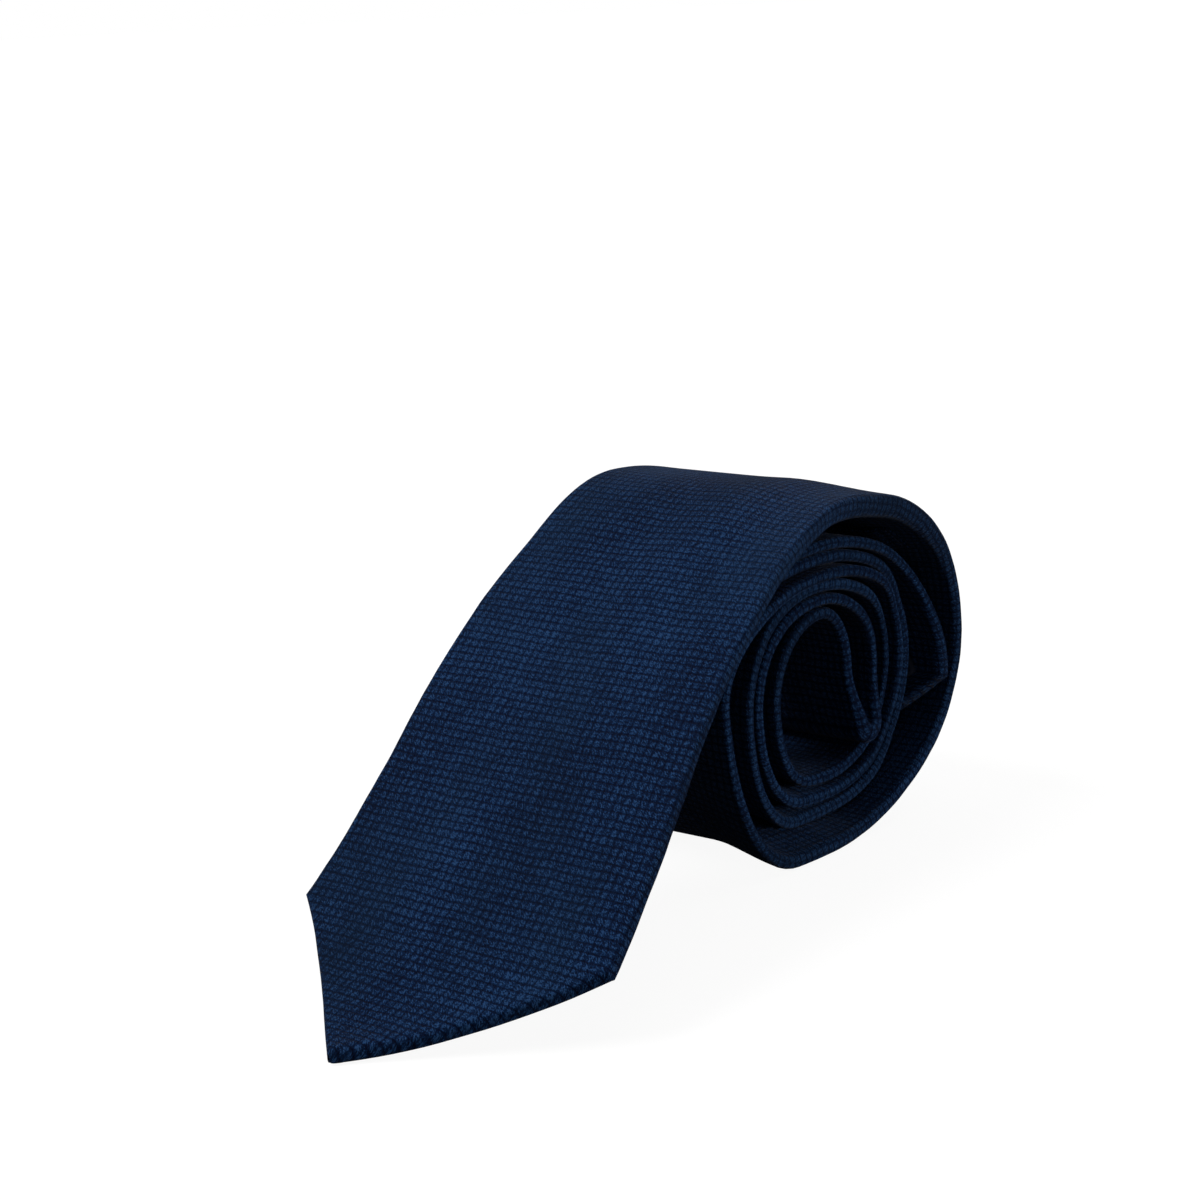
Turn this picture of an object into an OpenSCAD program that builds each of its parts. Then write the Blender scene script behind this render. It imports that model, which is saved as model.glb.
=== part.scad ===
// Necktie, folded in half and rolled from the fold.
// The strip stands on edge as a loose coil and its front blade drapes forward
// to the ground. X runs across the blade, Y from the blade tip to the back of
// the coil, Z up. The ground is Z = 0. Units are millimetres.

/* [Cloth strip] */
// Width of the front blade at its corners
blade_w = 80; // [74:1:86]
// Width of the strip at the neck
neck_w = 36; // [33:1:38]
// Width of the tail blade at its corners
tail_w = 40; // [37:1:43]
// Length over which the front blade narrows to the neck
taper_len = 520; // [460:10:600]
// Thickness of the finished strip, all layers together
strip_t = 2.9; // [2.7:0.05:3]
// Thickness of the folded shell cloth
cloth_t = 0.45; // [0.35:0.05:0.5]

/* [Draped front blade] */
// Length of the front blade from crest to tip
drape_len = 174; // [168:1:178]
// Steepest slope of the draped blade, in degrees
drape_slope = 37.25; // [36.6:0.05:37.4]

/* [Coil] */
// Height of the strip's centre line at the crest
crest_z = 86.45; // [85:0.05:88]
// Reach of the outer turn behind the crest
back_y = 57; // [56:0.1:58]
// Height of the widest point of every turn
belly_z = 40; // [39:0.1:41]
// Spacing of the turns at the back of the coil
back_pitch = 3.95; // [3.8:0.05:4]
// Height of the first inner layer under the crest
nest_top_z = 74.3; // [74:0.1:75]
// Spacing of the layers at the top of the coil
top_pitch = 3.5; // [3.4:0.05:3.5]
// Spacing of the layers at the foot of the coil
foot_pitch = 4.2; // [4:0.05:4.3]
// Length of the doubled tail lying under the front blade
tuck_len = 90; // [70:1:92]

/* [Keeper and labels] */
// Width of the keeper loop along the blade
keeper_w = 12; // [8:1:14]
// Length of the keeper loop across the blade
keeper_span = 46; // [36:1:50]
// Length of the blank name label along the blade
label_len = 16; // [10:1:20]
// Length of the loose care label
care_len = 26; // [15:1:30]
// Width of the loose care label
care_w = 18; // [12:1:24]

/* [Hidden] */

shell_navy = [0.05, 0.08, 0.2];
lining_navy = [0.07, 0.09, 0.17];
wool_grey = [0.62, 0.6, 0.56];
thread_navy = [0.1, 0.13, 0.27];
label_black = [0.04, 0.04, 0.05];

drape_steps = 44;     // segments in the draped blade
corner_step = 10;     // segment at which the blade's point ends
tip_hinge_step = 22;  // the tip lifts here
crest_hinge_step = 41; // the whole blade lifts here
arc_steps = 12;       // segments in a quarter turn
bend_steps = 8;       // segments in a tight fold
tuck_steps = 24;      // segments in the tucked tail
tail_steps = 4;       // segments past the last widest point
joint_gap = 0.3;      // gap between moving pieces
seam_gap = 0.6;       // room left for a sewn seam
seam_slack = 0.15;    // gap beside a seam ring
slot_w = 0.5;         // open centre back seam
reach = 3;            // how far cutters run past a strip
eps = 0.05;

// Heights and depths of the nested turns, counted from the outside
function back_at(k) = back_y - k * back_pitch;
function top_at(k) = nest_top_z - k * top_pitch;
function foot_at(k) = k == 0 ? strip_t / 2 : 6.6 + (k - 1) * foot_pitch;
function foot_y(k) = -4 + 3.8 * k;
top_y = 11;           // every inner turn tops out here
outer_front_y = -33.5; // the outer turn's front, under the blade
outer_front_z = 44.5;
front_z = 37.2;       // widest point of the inner turns, at the front
inner_front_y = [-17.3, -12.8, -4.3];
foot_run = 7;         // half of the flat that the coil stands on
back_ease = 0.3;      // how far two of the turns lean back to clear their neighbours
core_top_shift = 2.5; // the innermost turn tops out behind the others
core_shift = 0.5;     // the neck fold sits behind the middle of its legs
tail_foot_y = -2;     // where the tail's last turn would reach the foot
tail_foot_drop = 1.2;
core_back_y = 30.3;   // the two legs of the neck fold
core_front_y = 22.3;
core_z = 27;
core_r = 2.2;
layer_gap = 3.3;      // spacing of the two layers of the tucked tail
tuck_slope = 37;
tuck_ease = 56;

// Quarter turns between a flat tangent and an upright tangent
function from_flat(p, q) = [
  for (i = [0 : arc_steps - 1]) let (a = 90 * i / arc_steps)
    [p[0] + (q[0] - p[0]) * sin(a), q[1] + (p[1] - q[1]) * cos(a)]
];
function from_upright(p, q) = [
  for (i = [0 : arc_steps - 1]) let (a = 90 * i / arc_steps)
    [q[0] + (p[0] - q[0]) * cos(a), p[1] + (q[1] - p[1]) * sin(a)]
];
// A chain of quarter turns through a list of turning points
function turns(pts, flat_first) = [
  for (i = [0 : len(pts) - 2])
    each ((i % 2 == 0) == flat_first ? from_flat(pts[i], pts[i + 1])
                                     : from_upright(pts[i], pts[i + 1]))
];
function back_to_front(v) = [for (i = [len(v) - 1 : -1 : 0]) v[i]];
function settle(x) = (1 - exp(-2 * x)) / (1 + exp(-2 * x));

// The draped blade: its slope grows from the crest and dies out at the ground
drape_ds = drape_len / drape_steps;
function drape_angle(s) = drape_slope * settle(s / 25) * settle((drape_len - s) / 26);
free_drape = [
  for (i = 0, p = [0, crest_z]; i <= drape_steps;
       a = drape_angle((i + 0.5) * drape_ds),
       p = p - drape_ds * [cos(a), sin(a)],
       i = i + 1) p
];
// Its drop is evened out so that the tip always lies on the ground
drop_scale = (crest_z - strip_t / 2) / (crest_z - free_drape[drape_steps][1]);
drape_line = [for (p = free_drape) [p[0], crest_z - drop_scale * (crest_z - p[1])]];
// The tucked tail: two layers under the draped blade
tuck_ds = tuck_len / tuck_steps;
function tuck_angle(s) = tuck_slope * settle(s / tuck_ease);
tuck_line = [
  for (i = 0, p = [top_y, top_at(1)]; i <= tuck_steps;
       a = tuck_angle((i + 0.5) * tuck_ds),
       p = p - tuck_ds * [cos(a), sin(a)],
       i = i + 1) p
];
tuck_over = [
  for (i = [0 : tuck_steps]) let (a = tuck_angle(i * tuck_ds))
    tuck_line[i] + layer_gap * [-sin(a), cos(a)]
];
tuck_end_a = tuck_angle(tuck_len);
tuck_mid = (tuck_line[tuck_steps] + tuck_over[tuck_steps]) / 2;
tuck_up = [-sin(tuck_end_a), cos(tuck_end_a)];
tuck_on = [-cos(tuck_end_a), -sin(tuck_end_a)];
tuck_bend = [
  for (i = [1 : bend_steps - 1]) let (a = 180 * i / bend_steps)
    tuck_mid + layer_gap / 2 * (sin(a) * tuck_on - cos(a) * tuck_up)
];

// Turning points of the two halves of the strip
front_turns_outer = [[0, crest_z], [back_at(0), belly_z], [foot_y(0) + foot_run, foot_at(0)]];
front_turns_inner = [
  [foot_y(0) - foot_run, foot_at(0)], [outer_front_y, outer_front_z], [top_y, top_at(2)],
  [back_at(3) + back_ease, belly_z], [foot_y(2), foot_at(2)], [inner_front_y[1], front_z],
  [top_y, top_at(4)], [core_back_y, belly_z]
];
tail_turns = [
  [core_front_y, belly_z], [top_y + core_top_shift, top_at(5)], [inner_front_y[2], front_z],
  [foot_y(3), foot_at(3)], [back_at(4), belly_z], [top_y, top_at(3)],
  [inner_front_y[0], front_z], [foot_y(1), foot_at(1)], [back_at(2), belly_z],
  [top_y, top_at(1)]
];
tail_end_turns = [
  tuck_over[0], [back_at(1) + back_ease, belly_z], [tail_foot_y, foot_at(1) - tail_foot_drop]
];
core_bend = [
  for (i = [0 : bend_steps]) let (a = 180 * i / bend_steps)
    [(core_back_y + core_front_y) / 2 + core_shift + core_r * cos(a), core_z - core_r * sin(a)]
];
tail_end_line = [
  for (i = [0 : arc_steps + tail_steps]) turns(tail_end_turns, true)[i]
];

// The whole centre line, from the front tip to the tail tip
free_line = concat(
  [for (i = [drape_steps : -1 : 1]) drape_line[i]],
  turns(front_turns_outer, true), [front_turns_outer[2]],
  turns(front_turns_inner, true), [[core_back_y, belly_z]],
  core_bend,
  turns(tail_turns, false),
  [for (i = [0 : tuck_steps]) tuck_line[i]],
  tuck_bend,
  [for (i = [tuck_steps : -1 : 1]) tuck_over[i]],
  tail_end_line
);
// The same line with the middle of the part over the origin
middle_y = (drape_line[drape_steps][0] + back_y + strip_t / 2) / 2;
tie_line = [for (p = free_line) p - [middle_y, 0]];
tie_top = len(tie_line) - 1;

// Length along the strip, and the half width at every step
tie_run = [
  for (i = 0, s = 0; i <= tie_top;
       s = i < tie_top ? s + norm(tie_line[i + 1] - tie_line[i]) : s,
       i = i + 1) s
];
tie_len = tie_run[tie_top];
function part_of(x, a, b) = min(1, max(0, (x - a) / (b - a)));
front_corner = tie_run[corner_step];
tail_corner = tie_len - tail_w / 2;
function front_half_w(s) =
  neck_w / 2 + (blade_w - neck_w) / 2 * pow(1 - part_of(s, front_corner, taper_len), 1.15);
function tail_half_w(s) =
  neck_w / 2 + (tail_w - neck_w) / 2 * part_of(s, tie_len - 320, tail_corner);
function half_w(i) = let (s = tie_run[i])
  s < front_corner ? blade_w / 2 * s / front_corner :
  s > tail_corner ? tie_len - s :
  s < tie_len / 2 ? front_half_w(s) : tail_half_w(s);

// Unit direction along the strip, and unit direction out of its front face
function unit(v) = v / norm(v);
function along(i) = unit(tie_line[min(i + 1, tie_top)] - tie_line[max(i - 1, 0)]);
function outward(i) = let (t = along(i)) [-t[1], t[0]];

// Steps at which the strip is cut into pieces or turns back on itself
crest = drape_steps;
foot_start = crest + 2 * arc_steps;
second_top = foot_start + 1 + 2 * arc_steps;
second_foot = second_top + 2 * arc_steps;
third_top = second_foot + 2 * arc_steps;
front_leg = third_top + arc_steps;
core_end = front_leg + bend_steps + 1;
core_top = core_end + arc_steps + 1;
tail_third_foot = core_top + 2 * arc_steps;
tail_third_top = tail_third_foot + 2 * arc_steps;
tail_second_foot = tail_third_top + 2 * arc_steps;
tuck_start = tail_second_foot + 2 * arc_steps;
tuck_end = tuck_start + tuck_steps;
over_start = tuck_end + bend_steps;
over_end = over_start + tuck_steps - 1;
core_mid = front_leg + 1 + bend_steps / 2;

// Points at any run along the strip
y_table = [for (i = [0 : tie_top]) [tie_run[i], tie_line[i][0]]];
z_table = [for (i = [0 : tie_top]) [tie_run[i], tie_line[i][1]]];
function spot(s) = [lookup(s, y_table), lookup(s, z_table)];
function spot_out(s) = let (t = unit(spot(s + 1) - spot(s - 1))) [-t[1], t[0]];

// Places along the strip, as runs from the front tip
tack_step = 20;
tail_tack_back = 52;  // from the tail's point to its bar tack
tack_run = tie_run[tack_step];
name_label_run = tie_run[crest] + 14;
keeper_gap = 8;       // from the name label to the keeper loop
keeper_run = name_label_run + label_len + keeper_gap;
care_run = 72;
tail_tack_run = tie_len - tail_tack_back;
hem_w = 9;            // hem folded in at a blade's point
tail_hem_w = 5;
stitch_w = 0.3;
stitch_h = 0.15;
stitch_step = 2.4;
tack_span = 9;        // length of a bar tack across the seam
tack_thread = 0.45;
label_t = 0.25;
label_gap = 0.2;      // room for the seam under the name label
label_margin = 1;     // from a label's edge to its stitches
keeper_t = 0.6;
keeper_rise = 0.9;    // room for a tail under the keeper loop
care_drop = 0.5;      // gap that lets the care label swing
lining_slack = 0.1;   // gap between the interlining and the shell

half_t = strip_t / 2;
core_t = half_t - cloth_t;
plan_h = 120;
far_y = 400;

// A closed outline between two offsets of the centre line, from step a to b.
// trim_a and trim_b shorten it at its ends.
function end_shift(i, a, b, trim_a, trim_b) =
  i == a ? trim_a * along(i) : i == b ? -trim_b * along(i) : [0, 0];
function band_edge(a, b, out, trim_a, trim_b) = [
  for (i = [a : b]) tie_line[i] + out * outward(i) + end_shift(i, a, b, trim_a, trim_b)
];
module across(w) {
  rotate([90, 0, 90])
    linear_extrude(height = w, center = true)
      children();
}
module band(a, b, out, in, w, trim_a, trim_b) {
  across(w)
    polygon(concat(
      band_edge(a, b, out, trim_a, trim_b),
      back_to_front(band_edge(a, b, in, trim_a, trim_b))
    ));
}

// The edges of the strip, seen from above or from the front.
// rank 0 is the plan (y) and rank 1 the elevation (z).
function edge_w(i, inset) =
  half_w(i) - inset * (tie_run[i] < front_corner || tie_run[i] > tail_corner ? sqrt(2) : 1);
function way(a, b, rank) = tie_line[b][rank] > tie_line[a][rank] ? 1 : -1;
function one_edge(a, b, rank, inset) = concat(
  a > 0 ? [[edge_w(a, inset), tie_line[a][rank] - reach * way(a, b, rank)]] : [],
  [for (i = [a : b]) if (edge_w(i, inset) > eps) [edge_w(i, inset), tie_line[i][rank]]],
  b < tie_top ? [[edge_w(b, inset), tie_line[b][rank] + reach * way(a, b, rank)]] : []
);
// The very point of a blade, set back by the inset
function point_at(a, b, rank, inset) =
  a == 0 ? [[0, tie_line[a][rank] + inset * sqrt(2) * way(a, b, rank)]] : [];
function end_point_at(a, b, rank, inset) =
  b == tie_top ? [[0, tie_line[b][rank] - inset * sqrt(2) * way(a, b, rank)]] : [];
module edges(a, b, rank, inset) {
  side = one_edge(a, b, rank, inset);
  outline = concat(
    point_at(a, b, rank, inset), side, end_point_at(a, b, rank, inset),
    [for (p = back_to_front(side)) [-p[0], p[1]]]
  );
  if (rank == 0)
    translate([0, 0, -reach])
      linear_extrude(height = plan_h)
        polygon(outline);
  else
    rotate([90, 0, 0])
      linear_extrude(height = far_y, center = true)
        polygon(outline);
}

// One length of strip between two offsets, cut to the tapering edges
module length_of(a, b, rank, out, in, inset, trim_a, trim_b) {
  intersection() {
    band(a, b, out, in, blade_w + reach, trim_a, trim_b);
    edges(a, b, rank, inset);
  }
}
// A length of shell: folded cloth, open along the centre of its back
module shell(a, b, rank, trim_a = 0, trim_b = 0) {
  difference() {
    length_of(a, b, rank, half_t, -half_t, 0, trim_a, trim_b);
    length_of(a, b, rank, core_t, -core_t, cloth_t, trim_a - eps, trim_b - eps);
    band(a, b, -core_t + eps, -half_t - eps, slot_w, trim_a - eps, trim_b - eps);
  }
}
// A length of interlining inside the shell
module lining(a, b, rank, trim_a = 0, trim_b = 0) {
  length_of(a, b, rank, core_t - lining_slack, -core_t + lining_slack,
            cloth_t + lining_slack, trim_a, trim_b);
}
// The tight fold of the tail, where the strip keeps one width
fold_w = 2 * half_w(tuck_end);
module fold_shell() {
  difference() {
    band(tuck_end, over_start, half_t, -half_t, fold_w, 0, 0);
    band(tuck_end, over_start, core_t, -core_t, fold_w - 2 * cloth_t, -eps, -eps);
    band(tuck_end, over_start, -core_t + eps, -half_t - eps, slot_w, -eps, -eps);
  }
}
module fold_lining() {
  inner_w = fold_w - 2 * (cloth_t + lining_slack);
  band(tuck_end, over_start, core_t - lining_slack, -core_t + lining_slack, inner_w, 0, 0);
}
// A small piece that lies on the strip from run s0 to s1 and from x0 to x1
module patch(s0, s1, out, in, x0, x1) {
  pieces = max(1, ceil((s1 - s0) / 3));
  runs = [for (i = [0 : pieces]) s0 + (s1 - s0) * i / pieces];
  translate([(x0 + x1) / 2, 0, 0])
    across(x1 - x0)
      polygon(concat(
        [for (s = runs) spot(s) + out * spot_out(s)],
        [for (s = back_to_front(runs)) spot(s) + in * spot_out(s)]
      ));
}

// The opening at the back of a blade's point, which narrows to the bar tack
function front_window_w(i) =
  i <= corner_step ? half_w(i) - hem_w * sqrt(2) :
  (blade_w / 2 - hem_w * sqrt(2)) * (1 - part_of(tie_run[i], front_corner, tack_run));
function tail_window_w(i) =
  tie_run[i] > tail_corner ? half_w(i) - tail_hem_w * sqrt(2) :
  (tail_w / 2 - tail_hem_w * sqrt(2)) * part_of(tie_run[i], tail_tack_run, tail_corner);
module front_window(slack, out, in) {
  side = [
    for (i = [1 : tack_step]) if (front_window_w(i) - slack > eps)
      [front_window_w(i) - slack, tie_line[i][0]]
  ];
  outline = concat(side, [for (p = back_to_front(side)) [-p[0], p[1]]]);
  intersection() {
    band(1, tack_step, out, in, blade_w, 0, 0);
    translate([0, 0, -reach])
      linear_extrude(height = plan_h)
        polygon(outline);
  }
}
module tail_window(slack, out, in) {
  first = over_end + arc_steps - 1;
  side = [
    for (i = [first : tie_top]) if (tail_window_w(i) - slack > eps)
      [tail_window_w(i) - slack, tie_line[i][1]]
  ];
  outline = concat(side, [for (p = back_to_front(side)) [-p[0], p[1]]]);
  intersection() {
    band(first, tie_top, out, in, tail_w, 0, 0);
    rotate([90, 0, 0])
      linear_extrude(height = far_y, center = true)
        polygon(outline);
  }
}

module front_shell_tip() {
  color(shell_navy)
    difference() {
      shell(0, tip_hinge_step, 0, 0, joint_gap / 2);
      front_window(0, -core_t + eps, -half_t - eps);
    }
}
module front_shell_drape() {
  color(shell_navy)
    shell(tip_hinge_step, crest_hinge_step, 0, joint_gap / 2, joint_gap / 2);
}
module front_shell_coil() {
  color(shell_navy) {
    shell(crest_hinge_step, crest, 0, joint_gap / 2, 0);
    shell(crest, foot_start, 1);
    shell(foot_start, second_top, 1);
    shell(second_top, second_foot, 1, 0, seam_gap / 2);
  }
}
module neck_shell() {
  color(shell_navy) {
    shell(second_foot, third_top, 1, seam_gap / 2, 0);
    shell(third_top, core_mid, 1);
    shell(core_mid, core_top, 1);
    shell(core_top, tail_third_foot, 1);
    shell(tail_third_foot, tail_third_top, 1, 0, seam_gap / 2);
  }
}
module tail_shell() {
  color(shell_navy)
    difference() {
      union() {
        shell(tail_third_top, tail_second_foot, 1, seam_gap / 2, 0);
        shell(tail_second_foot, tuck_start, 1);
        shell(tuck_start, tuck_end, 0);
        fold_shell();
        shell(over_start, over_end + 1, 0);
        shell(over_end + 1, tie_top, 1);
      }
      tail_window(0, -core_t + eps, -half_t - eps);
    }
}
module front_interlining_tip() {
  color(wool_grey)
    lining(0, tip_hinge_step, 0, cloth_t, joint_gap / 2);
}
module front_interlining_drape() {
  color(wool_grey)
    lining(tip_hinge_step, crest_hinge_step, 0, joint_gap / 2, joint_gap / 2);
}
module front_interlining_coil() {
  color(wool_grey) {
    lining(crest_hinge_step, crest, 0, joint_gap / 2, 0);
    lining(crest, foot_start, 1);
    lining(foot_start, second_top, 1);
    lining(second_top, second_foot, 1);
    lining(second_foot, third_top, 1);
    lining(third_top, core_mid, 1, 0, lining_slack);
  }
}
module tail_interlining() {
  color(wool_grey) {
    lining(core_mid, core_top, 1, lining_slack, 0);
    lining(core_top, tail_third_foot, 1);
    lining(tail_third_foot, tail_third_top, 1);
    lining(tail_third_top, tail_second_foot, 1);
    lining(tail_second_foot, tuck_start, 1);
    lining(tuck_start, tuck_end, 0);
    fold_lining();
    lining(over_start, over_end + 1, 0);
    lining(over_end + 1, tie_top, 1, 0, cloth_t);
  }
}
module front_tipping() {
  color(lining_navy)
    front_window(lining_slack, -core_t - eps, -half_t + eps);
}
module tail_tipping() {
  color(lining_navy)
    tail_window(lining_slack, -core_t - eps, -half_t + eps);
}

// A row of stitches, either along the strip or across it
module row_along(s0, s1, x, out) {
  for (s = [s0 : stitch_step : s1])
    patch(s, s + stitch_step / 2, out, out - stitch_h, x - stitch_w / 2, x + stitch_w / 2);
}
module row_across(s, x0, x1, out) {
  for (x = [x0 : stitch_step : x1 - stitch_step / 2])
    patch(s, s + stitch_w, out, out - stitch_h, x, x + stitch_step / 2);
}
module keeper_loop() {
  drop = half_t + lining_slack;
  foot_w = 3;
  half_span = keeper_span / 2;
  color(shell_navy) {
    patch(keeper_run, keeper_run + keeper_w, -drop - keeper_rise,
          -drop - keeper_rise - keeper_t, -half_span, half_span);
    for (side = [-1, 1])
      patch(keeper_run, keeper_run + keeper_w, -drop, -drop - keeper_rise - keeper_t / 2,
            side * (half_span - foot_w / 2) - foot_w / 2,
            side * (half_span - foot_w / 2) + foot_w / 2);
  }
}
module keeper_stitches() {
  inset = 1.5;
  drop = half_t + lining_slack + keeper_rise + keeper_t;
  color(thread_navy)
    for (side = [-1, 1])
      row_along(keeper_run + 1, keeper_run + keeper_w - stitch_step,
                side * (keeper_span / 2 - inset), -drop);
}
label_half_w = 15;
module blank_name_label() {
  color(label_black)
    patch(name_label_run, name_label_run + label_len, -half_t - label_gap,
          -half_t - label_gap - label_t, -label_half_w, label_half_w);
}
module name_label_stitches() {
  drop = half_t + label_gap + label_t + eps;
  row_w = label_half_w - label_margin;
  color(thread_navy)
    for (s = [name_label_run + label_margin, name_label_run + label_len - label_margin])
      row_across(s, -row_w, row_w, -drop);
}
module care_label() {
  color(label_black)
    patch(care_run - care_len, care_run, -half_t - care_drop,
          -half_t - care_drop - label_t, -care_w / 2, care_w / 2);
}
module care_label_stitches() {
  color(thread_navy)
    row_across(care_run + joint_gap, -care_w / 2, care_w / 2, -half_t - eps);
}
// A bar tack: threads laid side by side across the end of the seam
module bar_tack(s) {
  color(thread_navy) {
    patch(s, s + 4 * tack_thread, -half_t - eps, -half_t - tack_thread / 2,
          -tack_span / 2, tack_span / 2);
    for (x = [-1 : 0.25 : 1])
      patch(s - tack_thread / 2, s + 4.5 * tack_thread, -half_t - eps, -half_t - tack_thread,
            x * (tack_span / 2 - 1) - stitch_w / 2, x * (tack_span / 2 - 1) + stitch_w / 2);
  }
}
module front_bar_tack() {
  bar_tack(tack_run);
}
module tail_bar_tack() {
  bar_tack(tail_tack_run - 4 * tack_thread);
}
// The slip stitch: a thread lying in the back seam that catches both flaps
catch_step = 9;
catch_w = 0.2;
tail_seam_end = tie_top - 12; // the seam ends short of the tail's bar tack
module slip_thread(a, b, trim_a, trim_b) {
  depth = cloth_t / 2;
  color(thread_navy) {
    band(a, b, -core_t - eps, -core_t - depth, stitch_w, trim_a, trim_b);
    for (s = [tie_run[a] + catch_step / 2 : catch_step : tie_run[b] - 1])
      patch(s, s + stitch_w, -core_t - depth / 2, -half_t - stitch_h, -catch_w / 2, catch_w / 2);
  }
}
module front_slip_stitch_drape() {
  slip_thread(tip_hinge_step, crest_hinge_step, joint_gap, joint_gap);
}
module front_slip_stitch_coil() {
  slip_thread(crest_hinge_step, second_foot, joint_gap, 0);
}
module tail_slip_stitch() {
  slip_thread(second_foot, tail_seam_end, 0, 0);
}
// A seam ring between two lengths of shell
module seam_ring(step) {
  s = tie_run[step];
  grip = seam_gap / 2 - seam_slack;
  w = half_w(step);
  color(thread_navy)
    difference() {
      patch(s - grip, s + grip, half_t, -half_t, -w, w);
      patch(s - grip - eps, s + grip + eps, core_t, -core_t, -w + cloth_t, w - cloth_t);
      patch(s - grip - eps, s + grip + eps, -core_t + eps, -half_t - eps, -slot_w, slot_w);
    }
}
module front_neck_seam() {
  seam_ring(second_foot);
}
module neck_tail_seam() {
  seam_ring(tail_third_top);
}

front_shell_tip();
front_shell_drape();
front_shell_coil();
neck_shell();
tail_shell();
front_interlining_tip();
front_interlining_drape();
front_interlining_coil();
tail_interlining();
front_tipping();
tail_tipping();
keeper_loop();
keeper_stitches();
blank_name_label();
name_label_stitches();
care_label();
care_label_stitches();
front_bar_tack();
tail_bar_tack();
front_slip_stitch_drape();
front_slip_stitch_coil();
tail_slip_stitch();
front_neck_seam();
neck_tail_seam();
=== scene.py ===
"""A necktie, folded in half and rolled from the fold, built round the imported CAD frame."""
from math import cos, pi, radians, sin, sqrt, tanh

import bpy
import numpy as np
from mathutils import Matrix, Vector, noise


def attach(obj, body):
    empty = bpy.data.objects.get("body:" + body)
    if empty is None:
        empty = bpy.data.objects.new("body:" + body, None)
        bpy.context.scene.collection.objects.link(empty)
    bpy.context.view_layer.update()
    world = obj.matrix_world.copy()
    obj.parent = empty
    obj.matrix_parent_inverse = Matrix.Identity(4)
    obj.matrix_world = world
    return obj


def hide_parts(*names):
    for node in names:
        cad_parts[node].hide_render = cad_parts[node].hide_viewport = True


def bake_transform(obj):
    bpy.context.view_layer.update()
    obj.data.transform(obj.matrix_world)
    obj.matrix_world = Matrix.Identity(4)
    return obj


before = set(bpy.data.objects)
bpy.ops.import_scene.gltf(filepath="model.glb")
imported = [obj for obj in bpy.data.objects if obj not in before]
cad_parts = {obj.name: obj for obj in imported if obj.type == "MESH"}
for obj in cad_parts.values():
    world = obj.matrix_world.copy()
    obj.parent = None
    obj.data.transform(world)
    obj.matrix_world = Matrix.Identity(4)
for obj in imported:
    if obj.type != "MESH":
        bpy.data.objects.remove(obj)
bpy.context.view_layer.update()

MM = 0.001

# ---------------------------------------------------------------- sizes, in millimetres
STRIP_T = 2.9            # finished strip, all layers together
CLOTH_T = 0.45
HALF_T = STRIP_T / 2
CORE_T = HALF_T - CLOTH_T
BLADE_W, NECK_W, TAIL_W = 80, 36, 40
TAPER_LEN = 520
TAPER_POWER = 1.15
TAIL_TAPER_LEN = 320

DRAPE_LEN = 174          # the blade from the crest to its tip
DRAPE_SLOPE = 37.25
DRAPE_EASE, DRAPE_EASE_TIP = 25, 26
CREST_Z = 86.45
BACK_Y = 57              # how far the outer turn reaches behind the crest
BELLY_Z = 40             # height of the widest point of the turns
BACK_PITCH, TOP_PITCH, FOOT_PITCH = 3.95, 3.5, 4.2
BACK_EASE = 0.3          # two of the turns lean back to clear their neighbours
NEST_TOP_Z, TOP_Y = 74.3, 11
FIRST_FOOT_Z = 6.6
FOOT_Y, FOOT_Y_PITCH = -4, 3.8
FOOT_RUN = 7             # half of the flat that the coil stands on
OUTER_FRONT = (-33.5, 44.5)
FRONT_Z = 37.2           # widest point of the inner turns, at the front
INNER_FRONT_Y = (-17.3, -12.8, -4.3)
CORE_TOP_Y = TOP_Y + 2.5
CORE_BACK_Y, CORE_FRONT_Y = 30.3, 22.3
CORE_AT, CORE_R = (26.8, 27), 2.2
TUCK_LEN, TUCK_SLOPE, TUCK_EASE = 90, 37, 56
LAYER_GAP = 3.3
TAIL_FOOT_DROP = 1.2

DRAPE_STEPS, ARC_STEPS, BEND_STEPS, TUCK_STEPS, TAIL_STEPS = 44, 12, 8, 24, 4
REACH_STEPS = 5          # the line goes on past the CAD's narrow end by these steps


# ---------------------------------------------------------------- the centre line
def back_at(k):
    return BACK_Y - k * BACK_PITCH


def top_at(k):
    return NEST_TOP_Z - k * TOP_PITCH


def foot_at(k):
    return HALF_T if k == 0 else FIRST_FOOT_Z + (k - 1) * FOOT_PITCH


def foot_y(k):
    return FOOT_Y + FOOT_Y_PITCH * k


def quarter(p, q, flat):
    """A quarter turn from p towards q that starts flat or upright, without its last point."""
    for i in range(ARC_STEPS):
        a = radians(90 * i / ARC_STEPS)
        if flat:
            yield (p[0] + (q[0] - p[0]) * sin(a), q[1] + (p[1] - q[1]) * cos(a))
        else:
            yield (q[0] + (p[0] - q[0]) * cos(a), p[1] + (q[1] - p[1]) * sin(a))


def turns(points, flat_first):
    line = []
    for i in range(len(points) - 1):
        line += quarter(points[i], points[i + 1], (i % 2 == 0) == flat_first)
    return line


def drape_line():
    """The blade falls from the crest and lies down again at its tip."""
    ds = DRAPE_LEN / DRAPE_STEPS
    line = [(0.0, CREST_Z)]
    for i in range(DRAPE_STEPS):
        s = (i + 0.5) * ds
        a = radians(DRAPE_SLOPE) * tanh(s / DRAPE_EASE) * tanh((DRAPE_LEN - s) / DRAPE_EASE_TIP)
        line.append((line[-1][0] - ds * cos(a), line[-1][1] - ds * sin(a)))
    drop = (CREST_Z - HALF_T) / (CREST_Z - line[-1][1])
    return [(y, CREST_Z - drop * (CREST_Z - z)) for y, z in line]


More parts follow.
